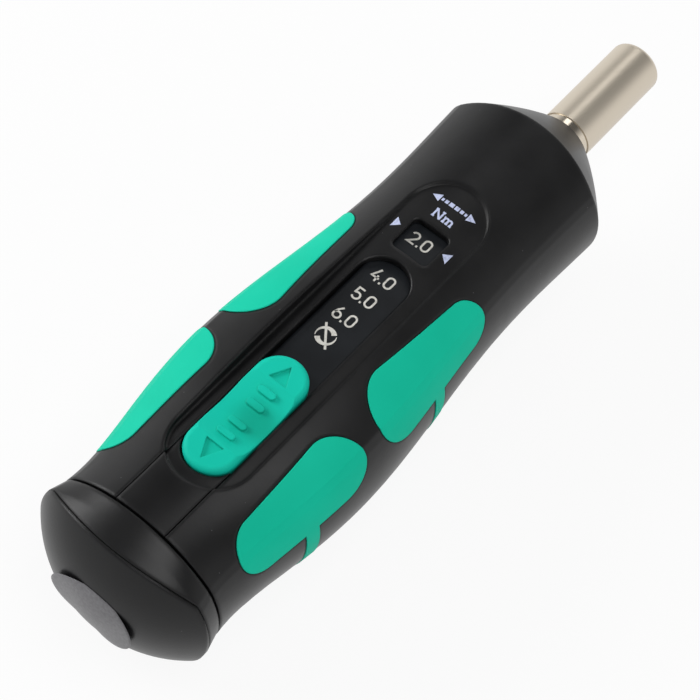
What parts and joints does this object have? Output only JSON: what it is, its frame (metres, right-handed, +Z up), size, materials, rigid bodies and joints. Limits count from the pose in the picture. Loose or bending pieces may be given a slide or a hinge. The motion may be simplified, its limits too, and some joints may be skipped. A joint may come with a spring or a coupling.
{
  "type": "torque screwdriver",
  "caption": "Torque screwdriver with a lobed soft-grip handle, a thumb slide that sets the release torque on a windowed scale, and a magnetic hexagon bit sleeve.",
  "frame": {"origin": "on the tool axis, at the front end of the bit sleeve", "axes": "+X along the tool axis towards the bit, +Z up through the middle of the scale panel"},
  "size_m": [0.1534, 0.0406, 0.0373],
  "materials": {
    "black_plastic": "satin moulded",
    "soft_green": "matt moulded",
    "scale_plastic": "matt moulded",
    "slider_plastic": "matt moulded",
    "spring_steel": "ground",
    "plated_steel": "satin nickel plated",
    "magnet_plating": "nickel plated",
    "bearing_bronze": "sintered",
    "sticker_paper": "matt paper"
  },
  "bodies": {
    "handle_body": {"handle_shell": "black_plastic", "rear_soft_grip": "soft_green", "front_soft_grip": "soft_green", "slot_cover": "black_plastic", "end_ring": "black_plastic", "end_cap": "black_plastic", "cap_screw": "spring_steel", "end_label": "sticker_paper", "spring_cage": "spring_steel", "rear_bushing": "bearing_bronze", "front_bushing": "bearing_bronze", "thrust_washer": "spring_steel"},
    "slide_body": {"slide_button": "soft_green", "scale_strip": "scale_plastic", "support_ring": "slider_plastic", "detent_spring": "spring_steel"},
    "drive_body": {"spindle": "spring_steel", "cam_wheel": "spring_steel", "bit_sleeve": "plated_steel", "bit_magnet": "magnet_plating", "circlip": "spring_steel"}
  },
  "joints": [
    {"name": "torque_slide", "type": "slide", "parent": "handle_body", "child": "slide_body", "axis": [1, 0, 0], "range_m": [0, 0.02565]},
    {"name": "spindle_turn", "type": "hinge", "parent": "handle_body", "child": "drive_body", "pos_m": [0, 0, 0], "axis": [1, 0, 0], "continuous": true}
  ]
}
